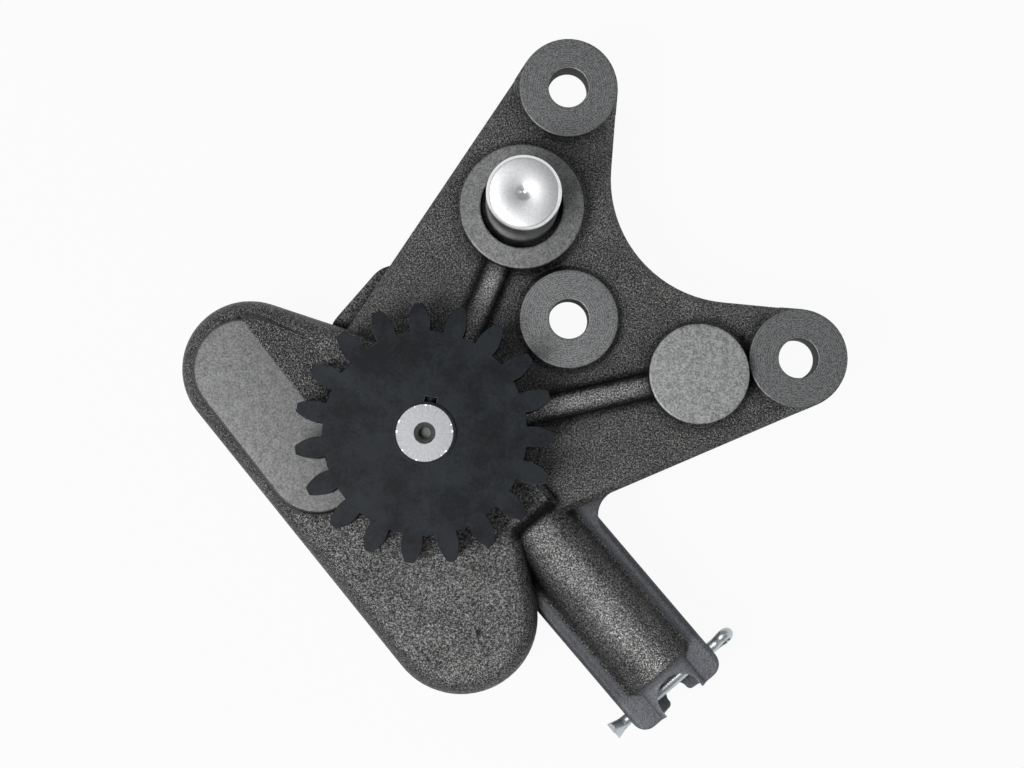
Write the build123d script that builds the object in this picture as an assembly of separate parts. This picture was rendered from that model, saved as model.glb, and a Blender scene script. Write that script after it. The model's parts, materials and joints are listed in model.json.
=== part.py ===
from build123d import *
from math import acos, asin, atan2, cos, degrees, hypot, pi, radians, sin, sqrt, tan
import os

# Gear-driven internal-rotor engine oil pump with a built-in plunger relief valve.
# Millimetres. The origin is on the drive shaft's axis, in the plane of the mounting face.
# +Z points out of the front, where the drive gear is. The rotors and the cover are behind.

# --- castings: heights along Z -------------------------------------------------------------
mounting_face = 0.0
plate_thickness = 7.0          # as-cast front of the mounting plate
bolt_seat_height = 10.0        # spot faces under the bolt heads
datum_height = 15.0            # ground faces: pad, idler boss and blank boss
lobe_height = 12.0             # as-cast front of the passage lobe
port_face = -14.0              # machined rear faces of the two ports
cover_joint = -28.0            # face that carries the rear cover
cover_thickness = 10.0

# --- mounting plate, in plan ---------------------------------------------------------------
hub_radius = 33.4
arm_end_radius = 13.3
arm_corner = (46.7, 38.6)       # where the arms' inner edges would meet
arm_corner_radius = 33.0
bolt_hole_diameter = 10.5
bolt_seat_diameter = 26.2
top_bolt = (37.6, 92.4)
middle_bolt = (37.7, 30.7)
right_bolt = (98.6, 20.3)
blank_boss = (71.8, 15.9)
blank_boss_diameter = 26.4
plate_edge_bevel = 1.6
boss_foot = 1.4
rib_width = 6.6
rib_crest_share = 0.52         # rounding of its crest, of its height
rib_foot_share = 0.45          # the same, at its foot
rib_height = 3.0
rib_start_radius = 26.0        # from the shaft's axis

# --- passage lobe, in plan -----------------------------------------------------------------
suction_end = (-47.0, 17.6)
suction_end_radius = 18.1
delivery_end = (9.2, -48.4)
delivery_end_radius = 20.3
lobe_root_radius = 20.0
lobe_edge_round = 6.5
pad_start = (-48.0, 17.2)
pad_end = (-28.6, -7.5)
pad_radius = 12.9
pad_cut_offset = 7.8           # straight side of the pad, from its centre line
shoulder_end = (-27.0, 3.0)    # the cast slope beside the pad
shoulder_radius = 17.0
shoulder_slope = 16.0
shoulder_draft = 30.0          # of the slope's other sides
pad_draft = 12.0
pad_sink = 3.0                 # of the pad's foot into the lobe
suction_port_diameter = 22.0
delivery_port_diameter = 18.0
delivery_port_shift = 3.0      # away from the rotor chamber, clear of the cover's lug
port_screw_diameter = 8.0
port_screw_depth = 14.0
port_screw_reach = 17.0        # from the port, along the lobe
port_screw_offset = 8.5        # from the port, towards the outer edge
passage_width = 11.0
passage_roof = 5.0
passage_floor_gap = 3.0        # above the rotor chamber's front wall
kidney_inner_radius = 14.5
kidney_outer_radius = 22.5
port_side = 90.0               # from the rotors' line of centres
kidney_half_angle = 58.0

# --- drive shaft, gear and bushes ----------------------------------------------------------
shaft_diameter = 16.0
shaft_front = 32.5
shaft_chamfer = 0.7
shaft_back_gap = 0.5           # to the bottom of the cover's bush
gear_module = 3.175
gear_teeth = 19
gear_root_land = 0.6           # straight start of each flank
idler_teeth = 22
pressure_angle = 20.0
gear_front = 31.0
gear_width = 15.0
gear_tooth_angle = 17.0        # direction of the first tooth
gear_end_float = 0.5           # between the gear and the front bush boss
key_width = 3.18
key_height = 3.1
key_length = 11.0
key_setback = 1.6              # the key's front end, behind the gear's face
keyway_angle = 80.0
keyway_depth = 1.4             # in the gear, beyond the bore
key_top_clearance = 0.15
centre_drill_radius = 2.8
centre_drill_depth = 2.4
centre_pilot_radius = 1.55
centre_tip_radius = 0.62       # of the cone, within the pilot hole
centre_pilot_depth = 5.0
bush_wall = 2.0
bush_running_clearance = 0.03
front_bush_length = 18.5
rear_bush_length = 11.0
shaft_boss_diameter = 34.0

# --- idler pin -----------------------------------------------------------------------------
idler_direction = 67.3
idler_pin_diameter = 19.05
idler_pin_projection = 30.3    # above the boss
idler_pin_chamfer = 0.9
idler_shank_diameter = 18.0    # pressed into the plate, up to the pin's shoulder
idler_shank_end = 0.5          # above the mounting face
idler_boss_diameter = 32.8
idler_recess_diameter = 21.9
idler_recess_depth = 2.5

# --- rotor set -----------------------------------------------------------------------------
inner_lobes = 4
eccentricity = 3.6
eccentric_direction = 40.4
lobe_centre_radius = 25.2      # outer rotor's lobe centres
lobe_arc_radius = 8.6          # outer rotor's lobes
rotor_outer_diameter = 60.0
rotor_mesh_clearance = 0.15
rotor_root_clearance = 0.3
rotor_housing_clearance = 0.2
rotor_end_float = 0.15
rotor_width = 23.0
rotor_pin_diameter = 4.0
rotor_pin_length = 22.0
housing_wall = 6.3

# --- rear cover and its screws -------------------------------------------------------------
cover_screws = 4
screw_wall = 7.0               # from the rotor chamber's wall to the screws' axes
cover_screw_direction = 107.6
cover_lug_radius = 7.9
lug_wall_place = (-18.0, 26.4)  # end of the thick wall beside the first lug
lug_wall_radius = 8.2
cover_lug_front = -6.0
screw_diameter = 8.0
screw_clearance = 0.5
screw_thread_reach = 15.0      # of the tapped hole, into the casting
screw_end_gap = 2.0
screw_head_across = 13.0
screw_head_height = 5.3
washer_diameter = 14.0
washer_thickness = 2.0
dowel_diameter = 5.0
dowel_length = 14.0
dowel_side = 110.0             # from the rotors' line of centres
dowel_wall = 5.2               # from the rotor chamber's wall to the dowels' axes
cover_boss_diameter = 30.0
cover_boss_height = 4.0
cover_boss_chamfer = 1.5

# --- relief valve --------------------------------------------------------------------------
barrel_direction = -49.6
barrel_offset = 6.4            # of the bore's axis from the shaft's, sideways
barrel_axis_height = -1.0
barrel_width = 28.8
barrel_wing_front = 2.5
barrel_wing_rear = -8.0
barrel_radius = 10.7
barrel_end_radius = 8.5        # turned down beside the notch
barrel_length = 98.4           # from the shaft's axis to the ends of the ears
barrel_end_depth = 10.6        # of the turned-down end
barrel_start = 12.0            # inside the housing
wing_corner_round = 1.5
barrel_blend = 3.0
plate_corner = (45.9, -19.9)   # near the corner between plate and barrel
plate_fill_radius = 7.0
lobe_corner = (32.3, -51.7)    # near the corner between lobe and barrel
lobe_fill_radius = 6.0
ear_corner_radius = 4.0
neck_length = 36.0
neck_width = 17.0
neck_round = 2.5
valve_bore_diameter = 14.3
valve_depth = 55.4             # from the ears' ends to the shoulder that the plunger rests on
valve_inlet_diameter = 10.0
valve_inlet_start = 18.0       # inside the passage to the delivery port
notch_depth = 8.0              # of the round notch between the ears, on the front
notch_width = 12.4
rear_notch_depth = 4.4
rear_notch_width = 6.0
rear_notch_flare = 1.25        # rounding where it leaves the ears' ends
plunger_clearance = 0.05
plunger_length = 23.8
plunger_wall = 1.5
plunger_head = 6.0
plunger_seat_gap = 0.3
plunger_chamfer = 0.8
spill_port_diameter = 6.0
spill_port_place = 51.5
spring_outer_diameter = 10.4
spring_wire = 1.6
spring_turns = 8
spring_chords_per_turn = 12
spring_end_gap = 0.1
cap_length = 6.0
cap_wall = 1.5
cap_end_gap = 0.05             # to the split pin
pin_wire_diameter = 3.2
pin_hole_diameter = 3.8
pin_setback = 5.7              # of the pin's axis, from the ends of the ears
pin_eye_radius = 1.4           # inside the eye
pin_neck_radius = 4.2          # where the legs part to form the eye
pin_leg_gap = 0.12
pin_leg_reach = 15.4           # straight part beyond the barrel's axis, eye side
pin_tail_reach = 15.2          # the same, tail side
pin_tail_length = 3.4
pin_bend_radius = 3.2
pin_bend_angle = 50.0
pin_roll = -20.0               # of the pin about its own length

# --- values worked out from the ones above -------------------------------------------------
shaft_radius = shaft_diameter / 2
gear_back = gear_front - gear_width
gear_pitch_radius = gear_module * gear_teeth / 2
gear_tip_radius = gear_pitch_radius + gear_module
gear_root_radius = gear_pitch_radius - 1.25 * gear_module
idler_distance = gear_module * (gear_teeth + idler_teeth) / 2
idler_place = (idler_distance * cos(radians(idler_direction)),
               idler_distance * sin(radians(idler_direction)))
shaft_boss_front = gear_back - gear_end_float
bush_outer_radius = shaft_radius + bush_wall
outer_lobes = inner_lobes + 1
chamber_centre = (eccentricity * cos(radians(eccentric_direction)),
                  eccentricity * sin(radians(eccentric_direction)))
chamber_radius = rotor_outer_diameter / 2 + rotor_housing_clearance
chamber_front = cover_joint + rotor_width + 2 * rotor_end_float
rotor_back = cover_joint + rotor_end_float
rotor_front = rotor_back + rotor_width
housing_radius = chamber_radius + housing_wall
cover_screw_circle = chamber_radius + screw_wall
dowel_circle = chamber_radius + dowel_wall
cover_back = cover_joint - cover_thickness
shaft_back = cover_joint - rear_bush_length + shaft_back_gap
barrel_end_start = barrel_length - barrel_end_depth
pin_place = barrel_length - pin_setback
valve_seat = barrel_length - valve_depth
barrel_frame = Plane(
    origin=(-barrel_offset * sin(radians(barrel_direction)),
            barrel_offset * cos(radians(barrel_direction)), barrel_axis_height),
    x_dir=(-sin(radians(barrel_direction)), cos(radians(barrel_direction)), 0),
    z_dir=(cos(radians(barrel_direction)), sin(radians(barrel_direction)), 0))


far = 200.0                    # beyond every piece, for cutting


# --- helpers -------------------------------------------------------------------------------
def rod(radius, low, high, place=(0, 0)):
    """A solid cylinder along Z between two heights."""
    return Pos(place[0], place[1], low) * extrude(Circle(radius), high - low)


def polar(radius, angle, centre=(0, 0)):
    return (centre[0] + radius * cos(radians(angle)), centre[1] + radius * sin(radians(angle)))


def link(place_a, radius_a, place_b, radius_b):
    """Outline of two circles and their two outer tangents."""
    dx, dy = place_b[0] - place_a[0], place_b[1] - place_a[1]
    along = degrees(atan2(dy, dx))
    lean = degrees(acos((radius_a - radius_b) / hypot(dx, dy)))
    corners = [polar(radius_a, along + lean, place_a), polar(radius_b, along + lean, place_b),
               polar(radius_b, along - lean, place_b), polar(radius_a, along - lean, place_a)]
    web = make_face(Polyline(*corners, close=True))
    return web + Pos(*place_a) * Circle(radius_a) + Pos(*place_b) * Circle(radius_b)


def solid_of(shape):
    """The one solid that a fused or cut shape holds."""
    solids = shape.solids()
    return max(solids, key=lambda s: s.volume)


def spread(outline, low, high):
    return Pos(0, 0, low) * extrude(outline, high - low)


def footed_boss(place, radius, low, top, foot=boss_foot):
    """A round boss with a flared foot, on the surface at height low."""
    foot_shape = Cone(radius + foot, radius, foot, align=(Align.CENTER, Align.CENTER, Align.MIN))
    return rod(radius, low - 1, top, place) + Pos(place[0], place[1], low) * foot_shape


def rounded_rib(start, finish, width, low, top):
    """A rib with a round crest and flared feet, between two places."""
    dx, dy = finish[0] - start[0], finish[1] - start[1]
    frame = Plane(origin=(start[0], start[1], 0), x_dir=(-dy, dx, 0), z_dir=(dx, dy, 0))
    half, rise = width / 2, top - low
    crest, foot = rib_crest_share * rise, rib_foot_share * rise
    section = Rectangle(width + 2 * rise, 2.0, align=(Align.CENTER, Align.MAX))
    section += Rectangle(width, rise, align=(Align.CENTER, Align.MIN))
    section = fillet([v for v in section.vertices() if v.Y > rise - 0.01], crest)
    feet = [v for v in section.vertices() if abs(v.Y) < 0.01 and abs(abs(v.X) - half) < 0.01]
    section = fillet(feet, foot)
    return Pos(0, 0, low) * extrude(frame * section, hypot(dx, dy))


def barrel_cylinder(radius, start, finish):
    """A cylinder along the relief valve's axis, between two distances from the shaft's axis."""
    return barrel_frame * Pos(0, 0, start) * extrude(Circle(radius), finish - start)


# --- pump body -----------------------------------------------------------------------------
def tangent_point(place, circle_place, radius, side):
    """Where a line from a place touches a circle, on its left (1) or its right (-1)."""
    dx, dy = circle_place[0] - place[0], circle_place[1] - place[1]
    reach = hypot(dx, dy)
    angle = degrees(atan2(dy, dx)) + side * degrees(asin(radius / reach))
    return polar(sqrt(reach ** 2 - radius ** 2), angle, place)


def plate_outline():
    """The hub and its two arms, with one large fillet between the arms."""
    hub = (0, 0)
    arms = link(hub, hub_radius, top_bolt, arm_end_radius)
    arms += link(hub, hub_radius, right_bolt, arm_end_radius)
    top_touch = tangent_point(arm_corner, top_bolt, arm_end_radius, -1)
    right_touch = tangent_point(arm_corner, right_bolt, arm_end_radius, 1)
    arms += make_face(Polyline(hub, right_bolt, right_touch, arm_corner, top_touch, top_bolt, close=True))
    inner = min(arms.vertices(), key=lambda v: hypot(v.X - arm_corner[0], v.Y - arm_corner[1]))
    return fillet(inner, arm_corner_radius)


def plate():
    body = spread(plate_outline(), mounting_face, plate_thickness)
    rim = [e for e in body.edges() if abs(e.center().Z - plate_thickness) < 0.01]
    body = chamfer(rim, plate_edge_bevel)
    for place in (top_bolt, middle_bolt, right_bolt):
        body += footed_boss(place, bolt_seat_diameter / 2, plate_thickness, bolt_seat_height)
    body += footed_boss(blank_boss, blank_boss_diameter / 2, plate_thickness, datum_height)
    body += footed_boss(idler_place, idler_boss_diameter / 2, plate_thickness, datum_height)
    return body & spread(plate_outline(), mounting_face - 1, datum_height + 1)


def ribs():
    shapes = []
    for place, boss in ((idler_place, idler_boss_diameter), (blank_boss, blank_boss_diameter)):
        angle = degrees(atan2(place[1], place[0]))
        reach = hypot(*place) - boss / 2 + 0.5
        shapes.append(rounded_rib(polar(rib_start_radius, angle), polar(reach, angle),
                                  rib_width, plate_thickness, plate_thickness + rib_height))
    return shapes


def lobe():
    """The raised passage casting between the suction and delivery ends."""
    outline = link(suction_end, suction_end_radius, delivery_end, delivery_end_radius)
    outline += link(suction_end, suction_end_radius, (0, 0), lobe_root_radius)
    outline += link(delivery_end, delivery_end_radius, (0, 0), lobe_root_radius)
    outline += make_face(Polyline(suction_end, delivery_end, (0, 0), close=True))
    body = spread(outline, port_face, lobe_height)
    rim = [e for e in body.edges() if abs(e.center().Z - lobe_height) < 0.01]
    return fillet(rim, lobe_edge_round)


def pad():
    """The long ground pad on the suction end, and the cast slope beside its straight side."""
    dx, dy = pad_end[0] - pad_start[0], pad_end[1] - pad_start[1]
    foot_depth = datum_height - lobe_height + pad_sink
    edge = Pos(pad_start[0], pad_start[1], datum_height) * Rot(0, 0, degrees(atan2(dy, dx)))
    edge *= Pos(hypot(dx, dy) / 2, pad_cut_offset, 0)
    beyond = edge * Box(far, far, far, align=(Align.CENTER, Align.MIN, Align.CENTER))
    above = Box(far, far, far, align=(Align.CENTER, Align.CENTER, Align.MIN))
    above = edge * Rot(-shoulder_slope, 0, 0) * above
    top = Pos(0, 0, datum_height)
    boss = extrude(top * link(pad_start, pad_radius, pad_end, pad_radius), -foot_depth, taper=-pad_draft)
    slope_outline = link(pad_start, pad_radius, shoulder_end, shoulder_radius)
    slope = extrude(top * slope_outline, -foot_depth, taper=-shoulder_draft)
    return (boss - beyond) + ((slope & beyond) - above)


def corner_round():
    """Radius of the wings' long edges, no more than the flat beside the round bulge allows."""
    front_rise = barrel_wing_front - barrel_axis_height + barrel_blend
    blend_reach = sqrt((barrel_radius + barrel_blend) ** 2 - front_rise ** 2)
    return min(wing_corner_round, 0.9 * (barrel_width / 2 - blend_reach))


def barrel():
    """The relief valve's barrel: a round bulge blended into two flat wings."""
    wing_height = barrel_wing_front - barrel_wing_rear
    wing_middle = (barrel_wing_front + barrel_wing_rear) / 2 - barrel_axis_height
    section = Pos(0, wing_middle) * Rectangle(barrel_width, wing_height)
    section += Circle(barrel_radius)
    feet = [v for v in section.vertices() if abs(v.X) < barrel_width / 2 - 0.1]
    section = fillet(feet, barrel_blend)
    corners = [v for v in section.vertices() if abs(v.X) > barrel_width / 2 - 0.1
               and abs(abs(v.Y - wing_middle) - wing_height / 2) < 0.1]
    section = fillet(corners, corner_round())
    body = barrel_frame * Pos(0, 0, barrel_start) * extrude(section, barrel_length - barrel_start)
    slope = barrel_radius - barrel_end_radius
    ring = extrude(Circle(2 * barrel_radius) - Circle(barrel_end_radius), barrel_length)
    cone = Cone(barrel_end_radius + slope, barrel_end_radius, slope,
                align=(Align.CENTER, Align.CENTER, Align.MIN))
    outside = Pos(0, wing_middle, 0) * Box(3 * barrel_width, wing_height, 3 * barrel_length)
    body -= barrel_frame * (Pos(0, 0, barrel_end_start) * (ring - cone) - outside)
    keep = barrel_frame * Pos(0, 0, barrel_length / 2) * Box(barrel_width, far, barrel_length)
    tips = [e for e in keep.edges().filter_by(Axis.Z)
            if (e.center() - barrel_frame.origin).dot(barrel_frame.z_dir) > barrel_length - 1]
    return body & fillet(tips, ear_corner_radius)


def neck():
    """The short raised neck over the root of the barrel."""
    block = Box(neck_length, neck_width, lobe_height - mounting_face,
                align=(Align.MIN, Align.CENTER, Align.MIN))
    top = [e for e in block.edges() if e.center().Z > lobe_height - mounting_face - 0.01
           and e.center().X > 0.1]
    block = fillet(top, neck_round)
    place = barrel_frame.origin
    return Pos(place.X, place.Y, mounting_face) * Rot(0, 0, barrel_direction) * block


def corner_fills():
    """Plan fillets where the barrel leaves the plate and the lobe, over the wings' rounded edges."""
    flat_width = barrel_width - 2 * corner_round()
    wings = Rectangle(barrel_length, flat_width, align=(Align.MIN, Align.CENTER))
    origin = barrel_frame.origin
    wings = Pos(origin.X, origin.Y) * Rot(0, 0, barrel_direction) * wings
    fills = []
    lobe_outline = link(delivery_end, delivery_end_radius, (0, 0), lobe_root_radius)
    for other, near, radius, low in (
            (plate_outline(), plate_corner, plate_fill_radius, mounting_face),
            (lobe_outline, lobe_corner, lobe_fill_radius, barrel_wing_rear)):
        joined = wings + other
        corner = min(joined.vertices(), key=lambda v: hypot(v.X - near[0], v.Y - near[1]))
        fills.append(spread(fillet(corner, radius) - joined, low, barrel_wing_front))
    return fills


def rotor_housing():
    """The round housing behind the plate, its four screw lugs and the wall beside one lug."""
    body = rod(housing_radius, cover_joint, mounting_face + 2, chamber_centre)
    for place in screw_places():
        body += rod(cover_lug_radius, cover_joint, cover_lug_front, place)
    return body + spread(lug_wall(), cover_joint, mounting_face + 2)


def lug_wall():
    return link(screw_places()[0], cover_lug_radius, lug_wall_place, lug_wall_radius)


def screw_places():
    step = 360 / cover_screws
    return [polar(cover_screw_circle, cover_screw_direction + step * k, chamber_centre)
            for k in range(cover_screws)]


def dowel_places():
    return [polar(dowel_circle, eccentric_direction + side, chamber_centre)
            for side in (dowel_side, dowel_side - 180)]


def kidney(direction):
    """One of the two curved ports in the front wall of the rotor chamber."""
    middle = (kidney_inner_radius + kidney_outer_radius) / 2
    arc = CenterArc((0, 0), middle, direction - kidney_half_angle, 2 * kidney_half_angle)
    return Pos(*chamber_centre) * trace(arc, kidney_outer_radius - kidney_inner_radius)


def passages():
    """Rotor chamber, ports and the cored passages between them."""
    cuts = [rod(chamber_radius, cover_joint - 1, chamber_front, chamber_centre)]
    ends = ((suction_end, suction_port_diameter, port_side),
            (delivery_port(), delivery_port_diameter, -port_side))
    for end, port_diameter, side in ends:
        direction = eccentric_direction + side
        cuts.append(spread(kidney(direction), chamber_front - 0.5, passage_roof))
        start = polar((kidney_inner_radius + kidney_outer_radius) / 2, direction, chamber_centre)
        runner = link(start, passage_width / 2, end, passage_width / 2)
        cuts.append(spread(runner, chamber_front + passage_floor_gap, passage_roof))
        cuts.append(rod(port_diameter / 2, port_face - 1, passage_roof, end))
    return cuts


def delivery_port():
    """Centre of the delivery port, a little outside the centre of the lobe's end."""
    dx, dy = delivery_end[0] - chamber_centre[0], delivery_end[1] - chamber_centre[1]
    return polar(hypot(dx, dy) + delivery_port_shift, degrees(atan2(dy, dx)), chamber_centre)


def port_screw_places():
    dx, dy = delivery_end[0] - suction_end[0], delivery_end[1] - suction_end[1]
    length = hypot(dx, dy)
    along, outward = (dx / length, dy / length), (dy / length, -dx / length)
    return [(end[0] + sign * port_screw_reach * along[0] + port_screw_offset * outward[0],
             end[1] + sign * port_screw_reach * along[1] + port_screw_offset * outward[1])
            for end, sign in ((suction_end, 1), (delivery_end, -1))]


def pump_body():
    body = plate()
    for shape in ribs():
        body += shape
    body += rotor_housing()
    body += lobe() + pad() + barrel() + neck()
    for shape in corner_fills():
        body += shape
    body += rod(shaft_boss_diameter / 2, mounting_face, shaft_boss_front)
    for cut in passages():
        body -= cut
    body -= rod(bush_outer_radius, chamber_front - 1, shaft_boss_front + 1)
    for place in (top_bolt, middle_bolt, right_bolt):
        body -= rod(bolt_hole_diameter / 2, mounting_face - 1, datum_height + 1, place)
    body -= rod(idler_shank_diameter / 2, mounting_face - 1, datum_height + 1, idler_place)
    body -= rod(idler_recess_diameter / 2, datum_height - idler_recess_depth,
                datum_height + 1, idler_place)
    for place in screw_places():
        body -= rod(screw_diameter / 2, cover_joint - 1, cover_joint + screw_thread_reach, place)
    for place in dowel_places():
        body -= rod(dowel_diameter / 2, cover_joint - 1, cover_joint + dowel_length / 2, place)
    for place in port_screw_places():
        body -= rod(port_screw_diameter / 2, port_face - 1, port_face + port_screw_depth, place)
    for cut in valve_cuts():
        body -= cut
    return solid_of(body)


def end_notch(width, depth, flare, reach):
    """A round-ended notch in the barrel's end, through the wall in front (reach below 0) or behind."""
    outline = Pos(0, width / 2) * Circle(width / 2)
    outline += Pos(0, width / 2) * Rectangle(width, barrel_radius, align=(Align.CENTER, Align.MIN))
    if flare > 0:
        outline += Pos(0, depth) * Rectangle(4 * width, width, align=(Align.CENTER, Align.MIN))
        mouth = [v for v in outline.vertices() if abs(v.Y - depth) < 0.01 and abs(v.X) < width]
        outline = fillet(mouth, min(flare, 0.9 * (depth - width / 2)))
    place = barrel_frame * Pos(0, 0, barrel_length - depth) * Rot(90, 0, 0)
    return place * extrude(outline, reach)


def valve_cuts():
    """Bore, inlet, spill port, end notch and split-pin holes of the relief valve."""
    bore = barrel_cylinder(valve_bore_diameter / 2, valve_seat, barrel_length + 1)
    inlet = barrel_cylinder(valve_inlet_diameter / 2, valve_inlet_start, valve_seat + 1)
    spill = barrel_frame * Pos(0, 0, spill_port_place) * Rot(90, 0, 0)
    spill *= extrude(Circle(spill_port_diameter / 2), 2 * barrel_radius)
    notch = end_notch(notch_width, notch_depth, 0, -2 * barrel_radius)
    rear_notch = end_notch(rear_notch_width, rear_notch_depth, rear_notch_flare, 2 * barrel_radius)
    holes = barrel_frame * Pos(0, 0, pin_place) * Rot(0, 90, 0)
    holes *= extrude(Circle(pin_hole_diameter / 2), barrel_width, both=True)
    return [bore, inlet, spill, notch, rear_notch, holes]


# --- drive train ---------------------------------------------------------------------------
def key_solid(clearance=0.0):
    """A parallel key with round ends, in its place in the shaft and the gear."""
    seat_radius = shaft_radius + keyway_depth - key_top_clearance
    front = gear_front - key_setback + clearance
    frame = Plane(origin=(0, 0, front - key_length / 2 - clearance / 2),
                  x_dir=(0, 0, 1), z_dir=(cos(radians(keyway_angle)), sin(radians(keyway_angle)), 0))
    outline = SlotOverall(key_length + clearance, key_width)
    return frame * Pos(0, 0, seat_radius - key_height) * extrude(outline, key_height)


def drive_shaft():
    body = rod(shaft_radius, shaft_back, shaft_front)
    ends = [e for e in body.edges() if e.geom_type == GeomType.CIRCLE]
    body = chamfer(max(ends, key=lambda e: e.center().Z), shaft_chamfer)
    body -= Pos(0, 0, shaft_front - centre_drill_depth) * Cone(
        centre_tip_radius, centre_drill_radius, centre_drill_depth,
        align=(Align.CENTER, Align.CENTER, Align.MIN))
    body -= rod(centre_pilot_radius, shaft_front - centre_pilot_depth, shaft_front)
    body -= key_solid()
    return solid_of(body - rotor_pin())


def involute_point(radius, tooth_angle, side):
    """A point of a tooth's flank, for a tooth whose middle lies at tooth_angle (radians)."""
    base = gear_pitch_radius * cos(radians(pressure_angle))
    half_at_pitch = pi / (2 * gear_teeth)
    roll = acos(min(1.0, base / radius))
    pitch_roll = radians(pressure_angle)
    half = half_at_pitch + (tan(pitch_roll) - pitch_roll) - (tan(roll) - roll)
    angle = tooth_angle + side * half
    return (radius * cos(angle), radius * sin(angle))


def gear_outline():
    base = gear_pitch_radius * cos(radians(pressure_angle))
    flank_start = max(base, gear_root_radius + gear_root_land)
    flank_middle = (flank_start + gear_tip_radius) / 2
    lines, pitch = [], 2 * pi / gear_teeth
    for tooth in range(gear_teeth):
        middle = radians(gear_tooth_angle) + tooth * pitch
        low = [involute_point(flank_start, middle, side) for side in (-1, 1)]
        mid = [involute_point(flank_middle, middle, side) for side in (-1, 1)]
        top = [involute_point(gear_tip_radius, middle, side) for side in (-1, 1)]
        angles = [atan2(p[1], p[0]) for p in low]
        root = [(gear_root_radius * cos(a), gear_root_radius * sin(a)) for a in angles]
        next_start = involute_point(flank_start, middle + pitch, -1)
        next_angle = atan2(next_start[1], next_start[0])
        valley = gear_root_radius * cos(middle + pitch / 2), gear_root_radius * sin(middle + pitch / 2)
        next_root = gear_root_radius * cos(next_angle), gear_root_radius * sin(next_angle)
        lines += [Line(root[0], low[0]), ThreePointArc(low[0], mid[0], top[0]),
                  Line(top[0], top[1]), ThreePointArc(top[1], mid[1], low[1]),
                  Line(low[1], root[1]), ThreePointArc(root[1], valley, next_root)]
    return make_face(Wire(lines))


def drive_gear():
    body = spread(gear_outline(), gear_back, gear_front)
    body -= rod(shaft_radius, gear_back - 1, gear_front + 1)
    slot = Box(shaft_radius + keyway_depth, key_width, gear_width + 2,
               align=(Align.MIN, Align.CENTER, Align.CENTER))
    body -= Pos(0, 0, (gear_back + gear_front) / 2) * Rot(0, 0, keyway_angle) * slot
    return solid_of(body)


def bush(low, length):
    return rod(bush_outer_radius, low, low + length) - rod(
        shaft_radius + bush_running_clearance, low - 1, low + length + 1)


# --- rotor set -----------------------------------------------------------------------------
def inner_rotor_point(turn):
    """The curve parallel to the path of the outer rotor's lobe centres, seen from the inner rotor."""
    x = lobe_centre_radius * cos(turn) + eccentricity * cos(outer_lobes * turn)
    y = lobe_centre_radius * sin(turn) + eccentricity * sin(outer_lobes * turn)
    dx = -lobe_centre_radius * sin(turn) - eccentricity * outer_lobes * sin(outer_lobes * turn)
    dy = lobe_centre_radius * cos(turn) + eccentricity * outer_lobes * cos(outer_lobes * turn)
    reach = (lobe_arc_radius + rotor_mesh_clearance) / hypot(dx, dy)
    return (x - reach * dy, y + reach * dx)


def inner_rotor():
    arcs_per_lobe = 10
    step = 2 * pi / (inner_lobes * arcs_per_lobe)
    arcs = [ThreePointArc(*[inner_rotor_point(step * (k + part)) for part in (0, 0.5, 1)])
            for k in range(inner_lobes * arcs_per_lobe)]
    body = Rot(0, 0, eccentric_direction) * spread(make_face(Wire(arcs)), rotor_back, rotor_front)
    body -= rod(shaft_radius, rotor_back - 1, rotor_front + 1)
    slot = Box(rotor_pin_length, rotor_pin_diameter, rotor_pin_length,
               align=(Align.CENTER, Align.CENTER, Align.MIN))
    body -= Pos(0, 0, rotor_front - rotor_pin_diameter) * slot
    return solid_of(body)


def rotor_pin():
    """The cross pin that turns the inner rotor, in a slot in the rotor's front face."""
    height = rotor_front - rotor_pin_diameter / 2
    return Pos(0, 0, height) * Rot(0, 90, 0) * extrude(
        Circle(rotor_pin_diameter / 2), rotor_pin_length / 2, both=True)


def outer_rotor():
    pocket_radius = lobe_centre_radius - lobe_arc_radius + 2 * eccentricity + rotor_root_clearance
    hollow = Circle(pocket_radius)
    for k in range(outer_lobes):
        hollow -= Pos(*polar(lobe_centre_radius, 360 / outer_lobes * k)) * Circle(lobe_arc_radius)
    ring = Circle(rotor_outer_diameter / 2) - hollow
    body = Rot(0, 0, eccentric_direction) * spread(ring, rotor_back, rotor_front)
    return solid_of(Pos(*chamber_centre) * body)


# --- cover and fasteners -------------------------------------------------------------------
def rear_cover():
    outline = Pos(*chamber_centre) * Circle(housing_radius)
    for place in screw_places():
        outline += Pos(*place) * Circle(cover_lug_radius)
    body = spread(outline + lug_wall(), cover_back, cover_joint)
    boss = rod(cover_boss_diameter / 2, cover_back - cover_boss_height, cover_back + 1)
    foot = [e for e in boss.edges() if e.center().Z < cover_back - cover_boss_height + 0.01]
    body += chamfer(foot, cover_boss_chamfer)
    body -= rod(bush_outer_radius, cover_joint - rear_bush_length, cover_joint + 1)
    for place in screw_places():
        body -= rod((screw_diameter + screw_clearance) / 2, cover_back - 1, cover_joint + 1, place)
    for place in dowel_places():
        body -= rod(dowel_diameter / 2, cover_joint - dowel_length / 2, cover_joint + 1, place)
    return solid_of(body)


def cover_screw(place):
    head_top = cover_back - washer_thickness
    head = spread(RegularPolygon(screw_head_across / 2, 6, major_radius=False),
                  head_top - screw_head_height, head_top)
    shank = rod(screw_diameter / 2, head_top - 0.5, cover_joint + screw_thread_reach - screw_end_gap)
    return solid_of(Pos(*place) * (head + shank))


def cover_washer(place):
    ring = rod(washer_diameter / 2, cover_back - washer_thickness, cover_back) - rod(
        (screw_diameter + screw_clearance) / 2, cover_back - 2 * washer_thickness, cover_back + 1)
    return solid_of(Pos(*place) * ring)


def dowel(place):
    low = cover_joint - dowel_length / 2
    return rod(dowel_diameter / 2, low, low + dowel_length, place)


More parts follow.
